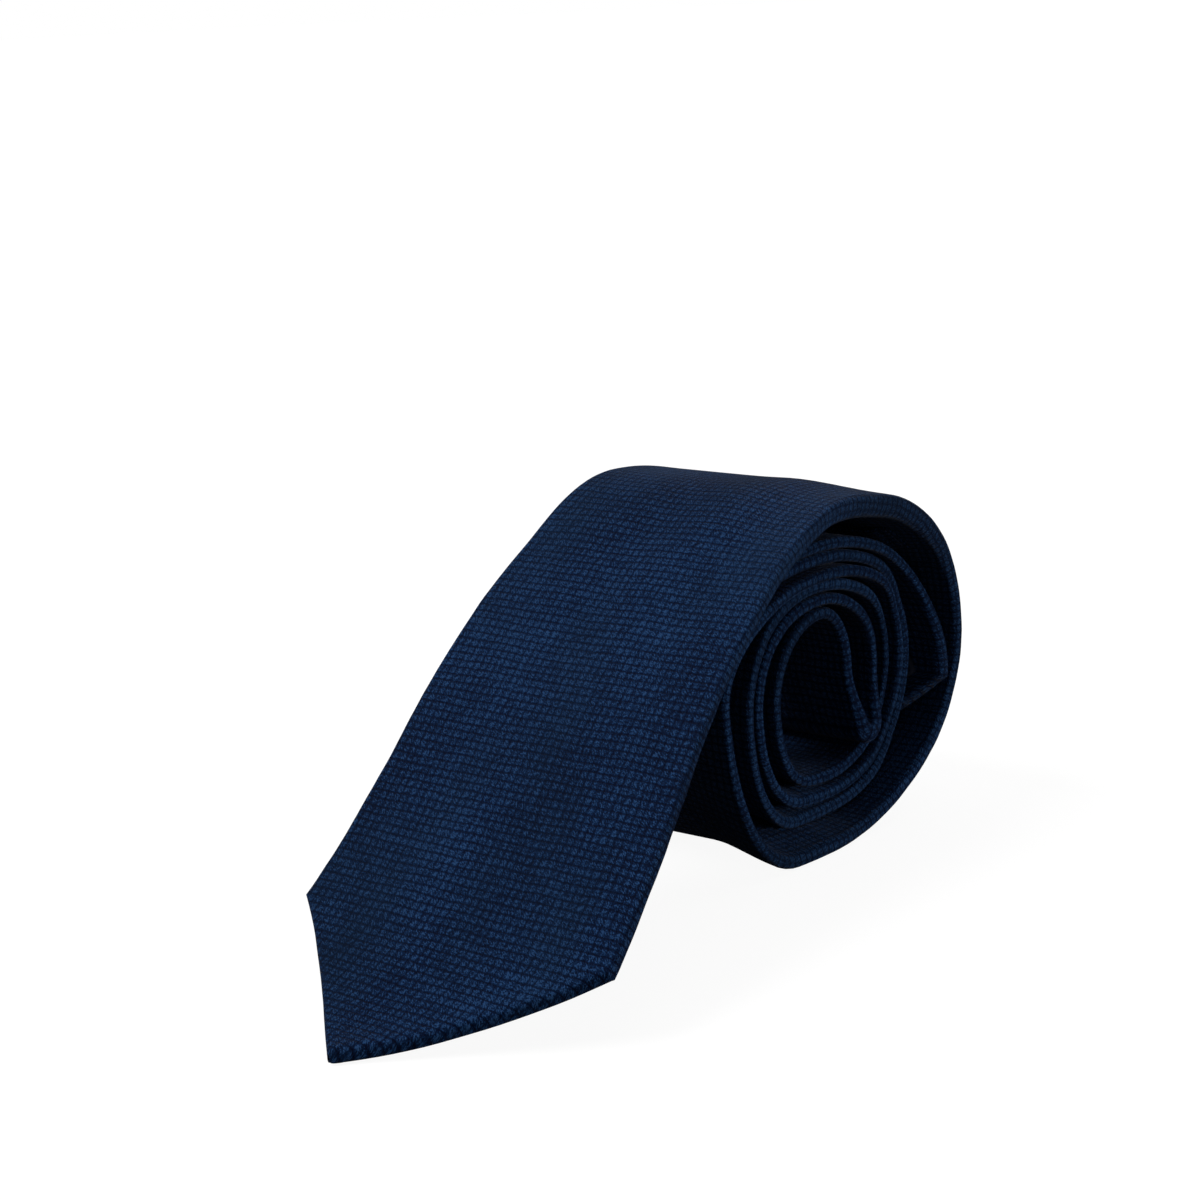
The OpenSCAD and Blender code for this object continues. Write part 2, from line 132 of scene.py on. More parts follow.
def tuck_lines():
    """The doubled tail under the blade: its lower layer, its fold and its upper layer."""
    ds = TUCK_LEN / TUCK_STEPS

    def angle(s):
        return radians(TUCK_SLOPE) * tanh(s / TUCK_EASE)

    under = [np.array((TOP_Y, top_at(1)))]
    for i in range(TUCK_STEPS):
        a = angle((i + 0.5) * ds)
        under.append(under[-1] - ds * np.array((cos(a), sin(a))))
    over = [
        p + LAYER_GAP * np.array((-sin(angle(i * ds)), cos(angle(i * ds))))
        for i, p in enumerate(under)
    ]
    end = angle(TUCK_LEN)
    middle = (under[-1] + over[-1]) / 2
    up, on = np.array((-sin(end), cos(end))), np.array((-cos(end), -sin(end)))
    fold = [
        middle + LAYER_GAP / 2 * (sin(a) * on - cos(a) * up)
        for a in (pi * i / BEND_STEPS for i in range(1, BEND_STEPS))
    ]
    return under, fold, over


def centre_line():
    drape = drape_line()
    under, fold, over = tuck_lines()
    outer = [(0, CREST_Z), (back_at(0), BELLY_Z), (foot_y(0) + FOOT_RUN, foot_at(0))]
    inner = [
        (foot_y(0) - FOOT_RUN, foot_at(0)), OUTER_FRONT, (TOP_Y, top_at(2)),
        (back_at(3) + BACK_EASE, BELLY_Z), (foot_y(2), foot_at(2)), (INNER_FRONT_Y[1], FRONT_Z),
        (TOP_Y, top_at(4)), (CORE_BACK_Y, BELLY_Z),
    ]
    core = [
        (CORE_AT[0] + CORE_R * cos(a), CORE_AT[1] - CORE_R * sin(a))
        for a in (pi * i / BEND_STEPS for i in range(BEND_STEPS + 1))
    ]
    tail = [
        (CORE_FRONT_Y, BELLY_Z), (CORE_TOP_Y, top_at(5)), (INNER_FRONT_Y[2], FRONT_Z),
        (foot_y(3), foot_at(3)), (back_at(4), BELLY_Z), (TOP_Y, top_at(3)),
        (INNER_FRONT_Y[0], FRONT_Z), (foot_y(1), foot_at(1)), (back_at(2), BELLY_Z),
        (TOP_Y, top_at(1)),
    ]
    end = [tuple(over[0]), (back_at(1) + BACK_EASE, BELLY_Z),
           (FOOT_Y + 2, foot_at(1) - TAIL_FOOT_DROP)]
    end_steps = ARC_STEPS + TAIL_STEPS + 1 + REACH_STEPS
    line = drape[:0:-1] + turns(outer, True) + [outer[-1]] + turns(inner, True)
    line += [inner[-1]] + core + turns(tail, False)
    line += [tuple(p) for p in under] + [tuple(p) for p in fold]
    line += [tuple(p) for p in over[:0:-1]] + turns(end, True)[:end_steps]
    middle = (drape[-1][0] + BACK_Y + HALF_T) / 2
    return np.array(line) - (middle, 0)


LINE = centre_line()
RUN = np.concatenate([[0], np.cumsum(np.hypot(*np.diff(LINE, axis=0).T))])
TIE_LEN = float(RUN[-1 - REACH_STEPS])

# Steps of the line at which the strip turns or is cut
CORNER, TACK, TIP_HINGE, CREST_HINGE, CREST = 10, 20, 22, 41, 44
FOOT_START = CREST + 2 * ARC_STEPS
SECOND_FOOT = FOOT_START + 1 + 4 * ARC_STEPS
CORE_MID = SECOND_FOOT + 3 * ARC_STEPS + 1 + BEND_STEPS // 2
CORE_TOP = SECOND_FOOT + 4 * ARC_STEPS + BEND_STEPS + 2
TAIL_THIRD_TOP = CORE_TOP + 4 * ARC_STEPS
FRONT_CORNER = float(RUN[CORNER])
TAIL_CORNER = TIE_LEN - TAIL_W / 2
TACK_RUN = float(RUN[TACK])
TAIL_TACK_RUN = TIE_LEN - 52
CORE_RUN = float(RUN[CORE_MID])      # the fold in the middle of the coil
TUCK_FOLD_RUN = TIE_LEN - 173.5      # the fold of the doubled tail


def tangents():
    ahead = np.vstack([LINE[1:], LINE[-1:]])
    behind = np.vstack([LINE[:1], LINE[:-1]])
    t = ahead - behind
    return t / np.linalg.norm(t, axis=1)[:, None]


SLOPES = tangents()


def spot(s):
    """Points on the smooth line at runs s, and the unit direction out of the front face."""
    s = np.clip(np.atleast_1d(s), 0, RUN[-1])
    i = np.clip(np.searchsorted(RUN, s, side="right") - 1, 0, len(RUN) - 2)
    h = (RUN[i + 1] - RUN[i])[:, None]
    u = ((s - RUN[i]) / h[:, 0])[:, None]
    p, q, a, b = LINE[i], LINE[i + 1], SLOPES[i] * h, SLOPES[i + 1] * h
    place = ((1 + 2 * u) * (1 - u) ** 2 * p + u * (1 - u) ** 2 * a
             + u * u * (3 - 2 * u) * q + u * u * (u - 1) * b)
    along = (6 * u * (u - 1) * (p - q) + (1 - u) * (1 - 3 * u) * a + u * (3 * u - 2) * b)
    along /= np.linalg.norm(along, axis=1)[:, None]
    return place, np.stack([-along[:, 1], along[:, 0]], 1)


def part_of(x, a, b):
    return np.clip((x - a) / (b - a), 0, 1)


def smooth(x, a, b):
    t = part_of(x, a, b)
    return t * t * (3 - 2 * t)


def half_w(s):
    """Half width of the finished strip at run s."""
    s = np.asarray(s, float)
    narrow = (1 - part_of(s, FRONT_CORNER, TAPER_LEN)) ** TAPER_POWER
    front = NECK_W / 2 + (BLADE_W - NECK_W) / 2 * narrow
    widen = part_of(s, TIE_LEN - TAIL_TAPER_LEN, TAIL_CORNER)
    tail = NECK_W / 2 + (TAIL_W - NECK_W) / 2 * widen
    w = np.where(s < TIE_LEN / 2, front, tail)
    w = np.where(s < FRONT_CORNER, BLADE_W / 2 * s / FRONT_CORNER, w)
    return np.where(s > TAIL_CORNER, TIE_LEN - s, w)


# ---------------------------------------------------------------- softness
# The soft shape bends the plain strip. All runs and shifts are in millimetres. Runs are
# counted from the wide point, places across from the middle of the strip.
SWELL, BUMPS, RIPPLES, CREST_SWELL = 0.75, 0.28, 0.25, 0.5
TROUGH_DEPTH, TROUGH_W = 0.7, 9
CREST_RIDGE, NEAR_EDGE_DROP = 1.0, 1.9
TAIL_HANG = 1.8
EDGE_WAVE, EDGE_RIPPLE = 0.22, 0.1
BLADE_WIDER = 0.034
BLADE_SWING, POINT_BACK = 9.8, 3.5
OUTER_SHIFT, TURN_SWAY, FOLD_SHIFT, TAIL_SHIFT = 2.6, 0.9, 4, 6
TURN_SKEW = 5
SLACK_AT, SLACK_R = (78, 22), 17
SLACK_BACK, SLACK_DOWN = 2, 0.5
SQUEEZE = 4.5
FOOT_ARCH = 4
BLADE_STRETCH, POINT_DROP = 2.3, 0.9
FOLD_LEAN, FOLD_RISE = 2.4, 1.2
TURNS_DOWN = 1.3
TAIL_REACH = 8.0         # the narrow end lies this much further on than in the plain strip


def wave(s, x, seed):
    """Smooth noise from -1 to 1 over the cloth, with features about one unit wide."""
    return noise.noise(Vector((s, x, seed)))


def fall(x, a, b):
    return 1 - smooth(x, a, b)


def bell(x, at, width):
    return np.exp(-(((x - at) / width) ** 2))


def relief(s, x):
    """How far the cloth swells or dips out of its plain line at run s and place x."""
    blade = smooth(s, 12, 45) * fall(s, 168, 190)
    crest = smooth(s, 120, 165) * fall(s, 190, 230)
    trough = -TROUGH_DEPTH * bell(x, 0.05 * (s - 130) - 3, TROUGH_W) * smooth(s, 85, 130)
    ridge = smooth(s, 140, 168) * fall(s, 196, 215)
    ridge *= CREST_RIDGE - NEAR_EDGE_DROP * smooth(x, 9, 30)
    shoulder = smooth(s, 190, 205) * fall(s, 225, 250) * smooth(x, 10, 28)
    hang = -TAIL_HANG * smooth(s, TIE_LEN - 62, TIE_LEN - 30)
    out = ridge + shoulder + hang
    for i in np.nonzero(blade + crest > 0)[0]:
        swell = SWELL * wave(s[i] / 45, x[i] / 34, 3.1)
        bumps = BUMPS * wave(s[i] / 19, x[i] / 15, 8.4)
        ripples = RIPPLES * wave(s[i] / 60, x[i] / 13, 5.7)
        out[i] += blade[i] * (swell + bumps + ripples + trough[i])
        out[i] += crest[i] * CREST_SWELL * wave(s[i] / 30, x[i] / 22, 1.9)
    return out


def edge_shift(s, side):
    """A small unevenness of the pressed edges."""
    return np.array([EDGE_WAVE * wave(v / 16, side * 4.0, 6.2)
                     + EDGE_RIPPLE * wave(v / 5, side, 2.2) for v in s])


def fuller(s):
    """The blade is a little wider than the plain strip."""
    return 1 + BLADE_WIDER * fall(s, 130, 175)


def drift(s):
    """How far the strip lies to one side: the blade swings over and the turns are uneven."""
    blade = BLADE_SWING * fall(s, 30, 125) - POINT_BACK * fall(s, 0, 38)
    outer = OUTER_SHIFT * smooth(s, 185, 225) * fall(s, 328, 365)
    turn = TURN_SWAY * np.sin((s - 330) / 85) * smooth(s, 300, 420) * fall(s, 1150, 1250)
    fold = FOLD_SHIFT * bell(s, CORE_RUN, 9)
    tail = TAIL_SHIFT * smooth(s, TIE_LEN - 60, TIE_LEN - 18)
    return blade + outer + turn + fold + tail


def lean(s, y, z, x):
    """Shifts of points in x, y and z: the coil sits a little skewed, slack and lopsided."""
    inner = smooth(s, 380, 425)
    skew = inner * TURN_SKEW * smooth(y, 35, 85)
    slack = bell(y, SLACK_AT[0], SLACK_R) * bell(z, SLACK_AT[1], SLACK_R) * inner
    slack *= fall(s, TIE_LEN - 160, TIE_LEN - 110)
    nest = inner * fall(s, TIE_LEN - 175, TIE_LEN - 125)
    squeeze = SQUEEZE * nest * smooth(y, 73, 92) * fall(z, 52, 72)
    arch = FOOT_ARCH * fall(x, 5, 27) * smooth(s, 300, 330)
    arch *= fall(z, 10, 42) * smooth(y, -4, 8) * fall(y, 44, 70)
    stretch = BLADE_STRETCH * fall(s, 30, 125) - POINT_DROP * fall(s, 0, 38)
    before_fold = smooth(s, CORE_RUN - 62, CORE_RUN - 30) * fall(s, CORE_RUN - 12, CORE_RUN)
    near_fold = fall(np.abs(s - CORE_RUN), 3, 34)
    dy = FOLD_LEAN * before_fold - SLACK_BACK * slack - squeeze - stretch
    dz = arch + FOLD_RISE * near_fold - SLACK_DOWN * slack - TURNS_DOWN * inner
    return skew, dy, dz


# ---------------------------------------------------------------- meshes
def place(s, x, h):
    """Points in metres at run s, x across and h out of the front face, all arrays of one length."""
    p, n = spot(s + TAIL_REACH * smooth(s, TIE_LEN - 240, TIE_LEN - 20))
    h = h + relief(s, x)
    y, z = p[:, 0] + n[:, 0] * h, p[:, 1] + n[:, 1] * h
    dx, dy, dz = lean(s, y, z, x)
    return np.stack([x * fuller(s) + drift(s) + dx, y + dy, z + dz], 1) * MM


def new_object(name, verts, faces, uvs=None, normals=None):
    mesh = bpy.data.meshes.new(name)
    mesh.from_pydata(verts.tolist(), [], [list(map(int, f)) for f in faces])
    mesh.polygons.foreach_set("use_smooth", [True] * len(mesh.polygons))
    if uvs is not None:
        layer = mesh.uv_layers.new(name="cloth")
        corner = np.empty(len(mesh.loops), int)
        mesh.loops.foreach_get("vertex_index", corner)
        layer.data.foreach_set("uv", uvs[corner].astype(np.float32).ravel())
    if normals is not None:
        mesh.normals_split_custom_set(normals.tolist())
    mesh.validate()
    obj = bpy.data.objects.new(name, mesh)
    bpy.context.scene.collection.objects.link(obj)
    return obj


def grid_normals(grid):
    """Normals of a grid of points that closes on itself across, from its neighbours."""
    along = np.gradient(grid, axis=0)
    round_it = np.roll(grid, -1, axis=1) - np.roll(grid, 1, axis=1)
    n = np.cross(along, round_it)
    return n / np.maximum(np.linalg.norm(n, axis=2), 1e-12)[..., None]


TIP_STEP, FOLD_STEP, STRIP_STEP, LINING_STEP = 0.25, 0.5, 2.0, 4.0


def stations(s0, s1, step):
    """Runs from s0 to s1, closer together at tight folds and at the two points."""
    runs = [s0]
    while runs[-1] < s1:
        s = runs[-1]
        near_tip = min(s, TIE_LEN - s)
        tight = min(abs(s - CORE_RUN), abs(s - TUCK_FOLD_RUN))
        ds = TIP_STEP if near_tip < 3 else FOLD_STEP if tight < 7 else step
        nxt = s + ds
        for mark in (FRONT_CORNER, TAIL_CORNER):
            if s < mark - 0.01 < nxt:
                nxt = mark
        runs.append(nxt)
    if len(runs) > 2 and runs[-1] - s1 > 0 and s1 - runs[-2] < 0.3 * (runs[-1] - runs[-2]):
        runs.pop(-2)
    runs[-1] = s1
    return np.array(runs)


def sweep(name, s0, s1, outline, pairs, step=STRIP_STEP):
    """Sweeps an outline along the line. outline(s) gives (points across, 3) of x, h and cloth
    place for every run; pairs are the outline's points that face each other across a cap."""
    runs = stations(s0, s1, step)
    beyond, least = 0.4, 0.02
    first, last = max(s0 - beyond, least), min(s1 + beyond, TIE_LEN - least)
    wide = np.concatenate([[first], runs, [last]])
    rings = outline(wide)
    n, m = rings.shape[:2]
    s = np.repeat(wide, m)
    grid = place(s, rings[..., 0].ravel(), rings[..., 1].ravel()).reshape(n, m, 3)
    normal = grid_normals(grid)
    grid, normal, rings = grid[1:-1], normal[1:-1], rings[1:-1]
    n -= 2
    i, j = np.meshgrid(np.arange(n - 1), np.arange(m), indexing="ij")
    k = (j + 1) % m
    sides = np.stack([i * m + j, (i + 1) * m + j, (i + 1) * m + k, i * m + k], -1).reshape(-1, 4)
    caps, cap_normals = [], []
    for ring, sign in ((0, -1), (n - 1, 1)):
        face_dir = sign * (grid[min(ring + 1, n - 1)] - grid[max(ring - 1, 0)]).mean(0)
        face_dir /= np.linalg.norm(face_dir)
        for (a, b), (c, d) in zip(pairs[:-1], pairs[1:]):
            face = [ring * m + p for p in dict.fromkeys((a, c, d, b))]
            if len(face) < 3:
                continue
            caps.append(face if sign < 0 else face[::-1])
            cap_normals += [face_dir] * len(face)
    flat = normal.reshape(-1, 3)
    normals = np.concatenate([flat[sides].reshape(-1, 3), np.array(cap_normals)])
    uvs = np.stack([rings[..., 2].ravel(), np.repeat(wide[1:-1], m)], 1) * MM
    return new_object(name, grid.reshape(-1, 3), sides.tolist() + caps, uvs, normals)


BACK_N, EDGE_N, FRONT_N, LIP_N = 7, 9, 13, 3
LIP_R = 0.3
EDGE_POWER = 0.75       # below 1 the edges are fuller than half round
SLOT_W = 0.24
POINT_SLOT_W = 0.1
HEM_W, TAIL_HEM_W = 9, 5


def slant(s):
    """How much longer a step across is along the slanting edges of the points."""
    return np.where((s < FRONT_CORNER) | (s > TAIL_CORNER), sqrt(2), 1.0)


def window_w(s):
    """Half width of the opening in the back of a point, which shows the tipping."""
    front = np.where(
        s < FRONT_CORNER, half_w(s) - HEM_W * sqrt(2),
        (BLADE_W / 2 - HEM_W * sqrt(2)) * (1 - part_of(s, FRONT_CORNER, TACK_RUN)))
    tail = np.where(
        s > TAIL_CORNER, half_w(s) - TAIL_HEM_W * sqrt(2),
        (TAIL_W / 2 - TAIL_HEM_W * sqrt(2)) * part_of(s, TAIL_TACK_RUN, TAIL_CORNER))
    return np.where(s < TIE_LEN / 2, front, tail)


def half_outline(s, w, r_front, r_back, back_from):
    """Right half of a flat section with full edges: x and h for every run."""
    round_x = np.minimum(0.5 * (r_front + r_back) * slant(s), 0.96 * w)
    flat_x = w - round_x
    lip = np.minimum(LIP_R, 0.3 * r_back)
    start = np.minimum(back_from, np.maximum(flat_x - lip, 0.3 * flat_x))
    cols = []
    for a in np.linspace(0, pi / 2, LIP_N):
        cols.append((start + lip * (1 - cos(a)), -r_back + lip * (1 - sin(a))))
    for t in np.linspace(0, 1, BACK_N + 1)[1:]:
        cols.append((start + lip + (np.maximum(flat_x, start + lip) - start - lip) * t, -r_back))
    for a in np.linspace(-pi / 2, pi / 2, EDGE_N + 2)[1:]:
        reach = abs(cos(a)) ** EDGE_POWER
        rise = abs(sin(a)) ** EDGE_POWER
        cols.append((flat_x + round_x * reach, r_front * rise if a > 0 else -r_back * rise))
    for t in np.linspace(0, 1, FRONT_N + 1)[1:]:
        cols.append((flat_x * (1 - t), r_front))
    x = np.stack([np.broadcast_to(c[0], s.shape) for c in cols], 1)
    h = np.stack([np.broadcast_to(c[1], s.shape) for c in cols], 1)
    return x, h


TIP_FULL, CREST_FRONT_FULL, CREST_BACK_FULL, OUTER_BACK_FULL = 0.75, 0.15, 2.4, 0.5
TAIL_FULL, FOLD_FULL = 1.2, 2.2


def fullness(s):
    """How much fuller than the plain strip the strip is, in front and behind."""
    front = TIP_FULL * fall(s, 35, 120)
    front += CREST_FRONT_FULL * smooth(s, 60, 120) * fall(s, 170, 300)
    back = CREST_BACK_FULL * smooth(s, 110, 165) * fall(s, 205, 255)
    back += OUTER_BACK_FULL * smooth(s, 150, 200) * fall(s, 330, 390)
    tail = TAIL_FULL * smooth(s, TIE_LEN - 46, TIE_LEN - 20)
    fold = FOLD_FULL * bell(s, CORE_RUN, 7)
    return front + tail + fold, back + tail


def tip_round(w, r):
    """The thickness dies out in a curve at the very point of a blade."""
    return r * np.sqrt(1 - (1 - np.clip(w / (1.6 * r), 0.05, 1)) ** 2)


NECK_SEAM = float(RUN[SECOND_FOOT])
TAIL_SEAM = float(RUN[TAIL_THIRD_TOP])
SEAM_VALLEY = 0.12       # share of the thickness that a cross seam pulls in


def pinch(s):
    """The strip is pulled a little thinner at its two cross seams."""
    at = np.minimum(abs(s - NECK_SEAM), abs(s - TAIL_SEAM))
    return 1 - SEAM_VALLEY * bell(at, 0, 1.2)


def shell_outline(s):
    """The folded cloth: its outer skin, then its inner skin, open along the back."""
    w = half_w(s)
    front, back = fullness(s)
    thin = tip_round(w, HALF_T) * pinch(s) / HALF_T
    in_point = (s < HEM_W * sqrt(2)) | (s > TIE_LEN - TAIL_HEM_W * sqrt(2))
    opening = np.maximum(np.where(in_point, POINT_SLOT_W, SLOT_W) / 2, window_w(s))
    skins = []
    for depth in (0, CLOTH_T):
        deep_w = np.maximum(w - depth * slant(s), 0.4 * w)
        deep_front = np.maximum((HALF_T + front) * thin - depth, 0.45 * HALF_T * thin)
        deep_back = np.maximum((HALF_T + back) * thin - depth, 0.45 * HALF_T * thin)
        x, h = half_outline(s, deep_w, deep_front, deep_back, opening)
        if depth:
            h[:, :LIP_N] = np.minimum(h[:, :LIP_N], -deep_back[:, None])
        left, right = edge_shift(s, -1)[:, None], edge_shift(s, 1)[:, None]
        spread = np.clip(x / np.maximum(w, 1e-6)[:, None], 0, 1) ** 4
        gate = smooth(w, 0.5, 6)[:, None]
        right_x, left_x = x + right * spread * gate, -(x + left * spread * gate)
        whole_x = np.concatenate([right_x, left_x[:, -2::-1]], 1)
        whole_h = np.concatenate([h, h[:, -2::-1]], 1)
        skins.append((whole_x, whole_h))
    (ox, oh), (ix, ih) = skins
    steps = np.hypot(np.diff(ox, axis=1), np.diff(oh, axis=1))
    u = np.concatenate([np.zeros((len(s), 1)), np.cumsum(steps, axis=1)], 1)
    middle = u.shape[1] // 2
    u = u[:, middle:middle + 1] - u + ox[:, middle:middle + 1]
    x = np.concatenate([ox, ix[:, ::-1]], 1)
    h = np.concatenate([oh, ih[:, ::-1]], 1)
    return np.stack([x, h, np.concatenate([u, u[:, ::-1]], 1)], 2)


HALF_N = LIP_N + BACK_N + EDGE_N + 1 + FRONT_N
SKIN_N = 2 * HALF_N - 1
SHELL_PAIRS = [(j, 2 * SKIN_N - 1 - j) for j in range(SKIN_N)]


LINING_GAP = 0.1         # air between the interlining and the shell


def lining_outline(s):
    """The woollen interlining: one solid rounded section inside the shell."""
    gap = LINING_GAP
    w = np.maximum(half_w(s) - (CLOTH_T + gap) * slant(s), 0.2)
    front, back = fullness(s)
    thin = np.minimum(tip_round(w, CORE_T - gap), 0.4 * tip_round(half_w(s), HALF_T) + 0.2 * w)
    thin = np.minimum(thin / (CORE_T - gap), 1) * pinch(s)
    x, h = half_outline(s, w, (CORE_T - gap + front) * thin, (CORE_T - gap + back) * thin,
                        np.zeros_like(s))
    x = np.concatenate([x[:, LIP_N:], -x[:, -2:LIP_N - 1:-1]], 1)
    h = np.concatenate([h[:, LIP_N:], h[:, -2:LIP_N - 1:-1]], 1)
    return np.stack([x, h, x], 2)


LINING_MID = HALF_N - LIP_N - 1
LINING_RIM = BACK_N + EDGE_N // 2


def lining_pairs():
    """Pairs of back and front points from one edge of the interlining to the other."""
    steps = LINING_MID - LINING_RIM
    right = [(round(k * LINING_RIM / steps), LINING_MID - k) for k in range(steps + 1)]
    return [(2 * LINING_MID - b, 2 * LINING_MID - f) for b, f in right[::-1]] + right


def tubes(name, paths, radius, sides=6):
    """Threads: one round tube for each path, with its ends drawn in."""
    verts, faces, uvs = [], [], []
    for path in paths:
        path = np.asarray(path)
        t = np.gradient(path, axis=0)
        t /= np.maximum(np.linalg.norm(t, axis=1), 1e-12)[:, None]
        start = len(verts)
        length = np.concatenate([[0], np.cumsum(np.linalg.norm(np.diff(path, axis=0), axis=1))])
        guide = np.array((0.31, 0.17, 0.93))
        for i, (p, d) in enumerate(zip(path, t)):
            a = np.cross(d, guide)
            a /= np.linalg.norm(a)
            b = np.cross(d, a)
            fat = radius * (0.45 if i in (0, len(path) - 1) else 1)
            for k in range(sides):
                q = 2 * pi * k / sides
                verts.append(p + fat * (a * cos(q) + b * sin(q)))
                uvs.append((k / sides * MM, length[i]))
        for i in range(len(path) - 1):
            for k in range(sides):
                n = (k + 1) % sides
                faces.append([start + i * sides + k, start + i * sides + n,
                              start + (i + 1) * sides + n, start + (i + 1) * sides + k])
        faces.append([start + k for k in range(sides)][::-1])
        faces.append([start + (len(path) - 1) * sides + k for k in range(sides)])
    return new_object(name, np.array(verts), faces, np.array(uvs))


def stitch(s0, x0, s1, x1, h, bow=0.12, n=5):
    """One stitch on the back face, bowed out of the cloth, as a path of points."""
    t = np.linspace(0, 1, n)
    runs = s0 + (s1 - s0) * t
    return place(runs, x0 + (x1 - x0) * t, h - fullness(runs)[1] - bow * np.sin(pi * t))


def sheet_faces(n, m):
    """Faces of a thin sheet: a grid of n runs by m places, the same grid below, and a rim."""
    i, j = np.meshgrid(np.arange(n - 1), np.arange(m - 1), indexing="ij")
    a = (i * m + j).ravel()
    quads = np.stack([a, a + m, a + m + 1, a + 1], 1)
    rim = np.concatenate([np.arange(m), np.arange(1, n) * m + m - 1,
                          (n - 1) * m + np.arange(m - 2, -1, -1), np.arange(n - 2, 0, -1) * m])
    after = np.roll(rim, -1)
    sides = np.stack([rim, after, after + n * m, rim + n * m], 1)
    return np.concatenate([quads, quads[:, ::-1] + n * m, sides])


def slab(name, runs, xs, h_of, thick):
    """A thin sheet over a grid of runs and places across, with a rim, on the back face."""
    s, x = np.meshgrid(runs, xs, indexing="ij")
    h = h_of(s, x) - fullness(s)[1]
    top = place(s.ravel(), x.ravel(), h.ravel())
    under = place(s.ravel(), x.ravel(), (h - thick).ravel())
    uvs = np.tile(np.stack([x.ravel(), s.ravel()], 1), (2, 1)) * MM
    faces = sheet_faces(len(runs), len(xs))
    obj = new_object(name, np.concatenate([top, under]), faces, uvs)
    soften = obj.modifiers.new("edge", "BEVEL")
    soften.width = thick * MM * 0.4
    soften.segments = 2
    soften.limit_method = "ANGLE"
    return obj


# ---------------------------------------------------------------- materials
class Nodes:
    """A short way to write a material's node tree."""

    def __init__(self, name):
        self.material = bpy.data.materials.new(name)
        self.material.use_nodes = True
        self.tree = self.material.node_tree
        self.tree.nodes.clear()
        self.shader = self.tree.nodes.new("ShaderNodeBsdfPrincipled")
        out = self.tree.nodes.new("ShaderNodeOutputMaterial")
        self.tree.links.new(self.shader.outputs[0], out.inputs[0])

    def link(self, value, socket):
        if isinstance(value, bpy.types.NodeSocket):
            self.tree.links.new(value, socket)
        else:
            socket.default_value = value

    def math(self, kind, *values):
        node = self.tree.nodes.new("ShaderNodeMath")
        node.operation = kind
        for i, v in enumerate(values):
            self.link(v, node.inputs[i])
        return node.outputs[0]

    def uv(self):
        node = self.tree.nodes.new("ShaderNodeUVMap")
        node.uv_map = "cloth"
        split = self.tree.nodes.new("ShaderNodeSeparateXYZ")
        self.tree.links.new(node.outputs[0], split.inputs[0])
        return node.outputs[0], split.outputs[0], split.outputs[1]

    def vector(self, x, y, z=0.0):
        node = self.tree.nodes.new("ShaderNodeCombineXYZ")
        for i, v in enumerate((x, y, z)):
            self.link(v, node.inputs[i])
        return node.outputs[0]

    def noise(self, vector, scale, detail=2.0, roughness=0.5):
        node = self.tree.nodes.new("ShaderNodeTexNoise")
        self.link(vector, node.inputs["Vector"])
        node.inputs["Scale"].default_value = scale
        node.inputs["Detail"].default_value = detail
        node.inputs["Roughness"].default_value = roughness
        return node.outputs["Fac"]

    def random(self, vector):
        node = self.tree.nodes.new("ShaderNodeTexWhiteNoise")
        node.noise_dimensions = "3D"
        self.link(vector, node.inputs["Vector"])
        return node.outputs["Value"]

    def ramp(self, factor, stops):
        node = self.tree.nodes.new("ShaderNodeValToRGB")
        self.link(factor, node.inputs[0])
        band = node.color_ramp
        while len(band.elements) < len(stops):
            band.elements.new(0.5)
        for element, (at, colour) in zip(band.elements, stops):
            element.position = at
            element.color = (*colour, 1)
        return node.outputs[0]

    def mix(self, factor, a, b, kind="MIX"):
        node = self.tree.nodes.new("ShaderNodeMix")
        node.data_type = "RGBA"
        node.blend_type = kind
        self.link(factor, node.inputs["Factor"])
        for socket, value in ((node.inputs[6], a), (node.inputs[7], b)):
            self.link(value if isinstance(value, bpy.types.NodeSocket) else (*value, 1), socket)
        return node.outputs[2]

    def bump(self, height, distance, strength=1.0):
        node = self.tree.nodes.new("ShaderNodeBump")
        node.inputs["Strength"].default_value = strength
        node.inputs["Distance"].default_value = distance
        self.link(height, node.inputs["Height"])
        self.tree.links.new(node.outputs[0], self.shader.inputs["Normal"])

    def finish(self, roughness, specular, sheen=0.0, sheen_rough=0.4, tint=(1, 1, 1)):
        values = self.shader.inputs
        self.link(roughness, values["Roughness"])
        values["Specular IOR Level"].default_value = specular
        values["Sheen Weight"].default_value = sheen
        values["Sheen Roughness"].default_value = sheen_rough
        values["Sheen Tint"].default_value = (*tint, 1)
        return self.material


WEAVE_ACROSS, WEAVE_ALONG = 0.0019, 0.00203


